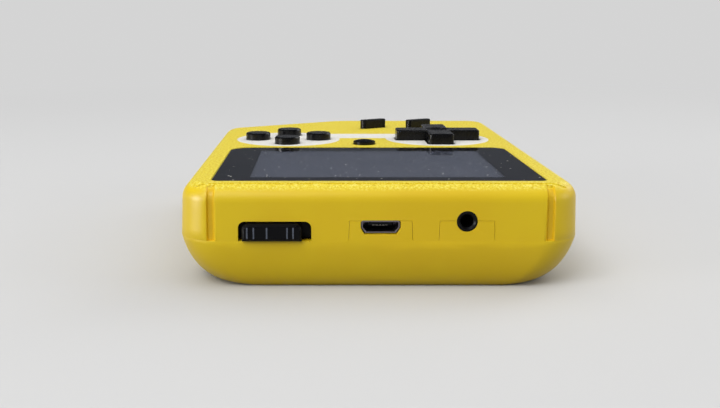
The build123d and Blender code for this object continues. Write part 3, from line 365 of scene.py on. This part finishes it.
def yellow_plastic(name, printed):
    """Moulded ABS: satin sides, a spark-eroded grain on the face."""
    s = Shader(name)
    face = s.ramp(s.z, FACE_LOW, FACE_HIGH)
    grain = s.noise(GRAIN_PER_MM, roughness=0.72)
    fine = s.noise(FINE_PER_MM, roughness=0.6)
    colour = grained_colour(s, face, grain)
    if printed:
        colour = printed_colour(s, colour, face, grain)
    face_bump = s.bump(grain, GRAIN_DEPTH, s.math("MULTIPLY", face, GRAIN_STRENGTH))
    normal = s.bump(fine, FINE_DEPTH, FINE_STRENGTH, face_bump)
    uneven = s.spread(fine, low=-0.03, high=0.05)
    rough = s.math("ADD", s.ramp(face, 0.0, 1.0, at_start=SIDE_ROUGH, at_end=FACE_ROUGH), uneven)
    return s.set(Base_Color=colour, Roughness=rough, Normal=normal, IOR=1.5)


def black_plastic(name, colour, rough, gloss):
    """Moulded black plastic with a faint orange peel and a little dust."""
    s = Shader(name)
    specks = s.noise(per_mm=2.4, detail=3.0, roughness=0.7)
    dust = s.ramp(specks, start=0.68, end=0.78, at_end=0.15)
    tone = s.mix(dust, linear(colour), linear(BLACK_DUST))
    peel = s.bump(s.noise(per_mm=1.4), depth=0.02, strength=0.18)
    normal = s.bump(s.noise(per_mm=9.0), depth=0.006, strength=0.3, under=peel)
    uneven = s.spread(s.noise(per_mm=0.6, detail=3.0), low=rough * 0.85, high=rough * 1.3)
    return s.set(Base_Color=tone, Roughness=uneven, Normal=normal, IOR=1.5, Specular_IOR_Level=gloss)


def knob_plastic(name):
    """Matt black knob with a painted highlight on the tips of its finger ribs, patchy with noise."""
    s = Shader(name)
    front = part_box("power_knob")[0].y / MM
    highlight_patches = s.noise(per_mm=2.0, detail=3.0, roughness=0.7)
    painted_light_share = s.ramp(highlight_patches, start=0.3, end=0.6, at_start=0.55)
    rib_front, rib_back = front + RIB_FRONT_GAP, front + RIB_BACK_GAP
    # Painted highlight on the rib tips, patchy with noise
    painted_tip_highlight = s.math("MULTIPLY", s.ramp(s.y, rib_front, rib_back, at_start=1.0, at_end=0.0), painted_light_share)
    tone = s.mix(painted_tip_highlight, linear(BLACK_MATT), linear(RIB_TIP_HIGHLIGHT))
    uneven = s.spread(s.noise(per_mm=0.6, detail=3.0), low=0.36, high=0.5)
    normal = s.bump(s.noise(per_mm=9.0), depth=0.006, strength=0.3)
    return s.set(Base_Color=tone, Roughness=uneven, Normal=normal, Specular_IOR_Level=0.1)


def plain_plastic(name, colour, rough, grain_depth):
    """Moulded or wrapped piece of one colour that is a little uneven."""
    s = Shader(name)
    cloudy = s.spread(s.noise(per_mm=0.4, detail=3.0), low=0.0, high=0.25)
    tone = s.mix(cloudy, linear(colour), linear(darker(colour, share=0.85)))
    normal = s.bump(s.noise(per_mm=5.0), grain_depth, strength=0.5)
    uneven = s.spread(s.noise(per_mm=1.1, detail=3.0), low=rough * 0.9, high=rough * 1.15)
    return s.set(Base_Color=tone, Roughness=uneven, Normal=normal)


def metal(name, colour, rough):
    """Metal with fine marks along X."""
    s = Shader(name)
    marks = s.noise(per_mm=4.0, detail=3.0, roughness=0.6, stretch=(0.4, 3.0, 3.0))
    dull = s.spread(marks, low=0.0, high=0.3)
    tone = s.mix(dull, linear(colour), linear(darker(colour, share=0.8)))
    uneven = s.spread(marks, low=rough * 0.8, high=rough * 1.25)
    normal = s.bump(marks, depth=0.004, strength=0.4)
    return s.set(Base_Color=tone, Roughness=uneven, Metallic=1.0, Normal=normal)


def dust_mask(s):
    """Share of dust: scattered specks, smaller towards the far side."""
    specks = s.node("ShaderNodeTexVoronoi", voronoi_dimensions="2D")
    s.put(s.place, specks.inputs["Vector"])
    s.put(DUST_PER_MM, specks.inputs["Scale"])
    near = s.ramp(s.y, VIEW_NEAR, VIEW_FAR, at_start=1.0, at_end=0.5)
    sizes = s.ramp(s.noise(per_mm=0.9), start=0.5, end=0.72, at_end=DUST_SIZE)
    size = s.math("MULTIPLY", sizes, near)
    return s.math("MULTIPLY", s.math("LESS_THAN", specks.outputs["Distance"], size), DUST_COVER)


def window_lens(name):
    """Clear acrylic with dust on it, which lets light through to the screen."""
    s = Shader(name)
    cloudy = s.ramp(s.noise(per_mm=0.12, detail=3.0), start=0.35, end=0.65)
    tint = s.mix(cloudy, linear(LENS_CLEAR), linear(LENS_TINTED))
    s.set(Base_Color=tint, Roughness=0.0, IOR=1.49, Transmission_Weight=1.0)
    dust = s.node("ShaderNodeBsdfDiffuse")
    s.put(linear(LENS_DUST), dust.inputs["Color"])
    dusty = s.blend(dust_mask(s), s.bsdf, dust)
    shadow_ray = s.node("ShaderNodeLightPath").outputs["Is Shadow Ray"]
    return s.surface(s.blend(shadow_ray, dusty, s.node("ShaderNodeBsdfTransparent")))


def lcd_face(name):
    """Unlit LCD: a grey-blue reflective field with faint rows and columns."""
    s = Shader(name)
    waves = [s.math("SINE", s.math("MULTIPLY", place, PIXEL_TURN)) for place in (s.x, s.y)]
    grid = s.math("MINIMUM", *[s.math("ABSOLUTE", wave) for wave in waves])
    lines = s.ramp(grid, start=0.0, end=0.4, at_start=0.5, at_end=0.0)
    tone = s.mix(lines, linear(LCD_FIELD), linear(LCD_LINES))
    return s.set(Base_Color=tone, Roughness=0.42, IOR=1.6)


def ink(name):
    """Printed black that lies behind the lens."""
    s = Shader(name)
    cloudy = s.spread(s.noise(per_mm=0.5), low=0.0, high=0.5)
    return s.set(Base_Color=s.mix(cloudy, linear(INK), linear(INK_LIGHT)), Roughness=0.45)


def slot_materials():
    """One material for each slot of the record."""
    made = {
        "yellow_shell": yellow_plastic("yellow_shell", printed=False),
        "black_gloss": black_plastic("black_gloss", BLACK, rough=0.24, gloss=0.22),
        "black_matt": black_plastic("black_matt", BLACK_MATT, rough=0.38, gloss=0.16),
        "lens": window_lens("lens"),
        "lcd_glass": lcd_face("lcd_glass"),
    }
    for name, look in PLAIN_PLASTICS.items():
        made[name] = plain_plastic(name, *look)
    for name, look in METALS.items():
        made[name] = metal(name, *look)
    return made


def own_materials():
    """Materials of the nodes that don't share their slot's look."""
    return {
        "front_shell": yellow_plastic("yellow_shell_printed", printed=True),
        "power_knob": knob_plastic("knob_plastic"),
        "usb_shell": metal("tinned_steel", (128, 122, 130), 0.36),
        "usb_contacts": metal("contact_metal", (214, 208, 196), 0.3),
    }


def dress_nodes():
    """Give each CAD node its own material, or else the one that its slot names."""
    shared = slot_materials()
    own = own_materials()
    for entry in frame["record"]["subparts"]:
        piece = nodes[entry["node"]]
        piece.data.materials.clear()
        piece.data.materials.append(own.get(entry["node"]) or shared[entry["material_slot"]])


def soften_edges(piece, width):
    """Round the solids' sharp edges a little, as a mould does."""
    weld = piece.modifiers.new("weld", "WELD")
    weld.merge_threshold = WELD_REACH * MM
    bevel = piece.modifiers.new("bevel", "BEVEL")
    bevel.width = width * MM
    bevel.segments = SOFT_STEPS
    bevel.limit_method = "ANGLE"
    bevel.angle_limit = SOFT_ANGLE
    bevel.harden_normals = True


def mask_mesh(outer, inner, bottom, top):
    """Flat frame between two rectangles, each given by two opposite corners."""
    rings = []
    for (x0, y0), (x1, y1) in (outer, inner):
        rings.append([(x0, y0), (x1, y0), (x1, y1), (x0, y1)])
    points = [(x, y, z) for z in (bottom, top) for ring in rings for x, y in ring]
    count = len(rings[0])
    faces = []
    for corner in range(count):
        pair = (corner, (corner + 1) % count)
        low_outer, low_inner, high_outer, high_inner = [
            tuple(point + count * ring for point in pair) for ring in range(2 * len(rings))
        ]
        faces.append((*low_outer, *reversed(low_inner)))
        faces.append((high_outer[0], *high_inner, high_outer[1]))
        faces.append((low_outer[0], *high_outer, low_outer[1]))
        faces.append((*low_inner, *reversed(high_inner)))
    mesh = bpy.data.meshes.new("lens_mask")
    mesh.from_pydata(points, [], faces)
    mesh.validate()
    return mesh


def lens_mask():
    """Black ink printed on the back of the lens, round the clear view."""
    low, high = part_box("screen_lens")
    margin = MASK_MARGIN * MM
    outer = ((low.x + margin, low.y + margin), (high.x - margin, high.y - margin))
    inner = ((-VIEW_HALF_WIDTH * MM, VIEW_NEAR * MM), (VIEW_HALF_WIDTH * MM, VIEW_FAR * MM))
    bottom = low.z + MASK_GAP * MM
    mesh = mask_mesh(outer, inner, bottom, bottom + MASK_THICKNESS * MM)
    piece = bpy.data.objects.new("lens_mask", mesh)
    bpy.context.scene.collection.objects.link(piece)
    piece.data.materials.append(ink("mask_ink"))
    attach(piece, "case")


def floor():
    """Pale floor that keeps the part's shadow and runs into the backdrop far away."""
    bpy.ops.mesh.primitive_plane_add(size=FLOOR_SIDE, location=(0, 0, 0))
    ground = bpy.context.object
    ground.name = "floor"
    s = Shader("floor")
    path = s.node("ShaderNodeLightPath")
    seen = s.math("MAXIMUM", path.outputs["Is Camera Ray"], path.outputs["Is Glossy Ray"])
    seen = s.math("MAXIMUM", seen, path.outputs["Is Transmission Ray"])
    colour = s.mix(seen, grey(FLOOR_BOUNCE), grey(FLOOR_SEEN))
    s.set(Base_Color=colour, Roughness=0.9, Specular_IOR_Level=0.0)
    far = s.math("MULTIPLY", s.ramp(s.length(s.x, s.y), *FLOOR_FAR), seen)
    backdrop = s.node("ShaderNodeEmission")
    s.put(grey(HORIZON), backdrop.inputs["Color"])
    ground.data.materials.append(s.surface(s.blend(far, s.bsdf, backdrop)))


def sky():
    """Pale studio behind and around; a darker wall higher up, for the gloss to show."""
    world = bpy.data.worlds.new("studio")
    bpy.context.scene.world = world
    world.use_nodes = True
    t = Tree(world.node_tree)
    height = t.split(t.node("ShaderNodeTexCoord").outputs["Generated"])["Z"]
    wall = t.mix(t.ramp(height, *WALL_RISE), grey(HORIZON), UPPER_WALL)
    diffuse_ray = t.node("ShaderNodeLightPath").outputs["Is Diffuse Ray"]
    background = world.node_tree.nodes["Background"]
    t.put(t.mix(diffuse_ray, wall, grey(FILL)), background.inputs["Color"])
    t.put(1.0, background.inputs["Strength"])


def lamp(name, place, size, power):
    """Rectangular lamp turned to the part."""
    data = bpy.data.lights.new(name, "AREA")
    data.shape = "RECTANGLE"
    data.size, data.size_y = size
    data.energy = power
    made = bpy.data.objects.new(name, data)
    bpy.context.scene.collection.objects.link(made)
    made.location = place
    target = bpy.data.objects.new(name + "_aim", None)
    target.location = LAMP_AIM
    bpy.context.scene.collection.objects.link(target)
    turn = made.constraints.new("TRACK_TO")
    turn.target = target
    turn.track_axis = "TRACK_NEGATIVE_Z"
    turn.up_axis = "UP_Y"
    return made


def lights():
    """All lamps: the lens doesn't mirror the overhead one, and the card shows only in the gloss."""
    made = {name: lamp(name, *settings) for name, settings in LAMPS.items()}
    made["overhead"].visible_glossy = False
    made["gloss_card"].visible_diffuse = False


def camera():
    data = bpy.data.cameras.new("camera")
    data.lens = CAMERA_LENS
    data.sensor_width = CAMERA_SENSOR
    data.shift_x = CAMERA_SHIFT_X
    data.clip_start = CAMERA_CLIP
    made = bpy.data.objects.new("camera", data)
    made.location = CAMERA_PLACE
    made.rotation_euler = (CAMERA_PITCH, 0, 0)
    bpy.context.scene.collection.objects.link(made)
    bpy.context.scene.camera = made


dress_nodes()
for name, width in SOFT_EDGES.items():
    soften_edges(nodes[name], width)
lens_mask()
floor()
sky()
lights()
camera()

bpy.context.scene.view_settings.view_transform = "Standard"
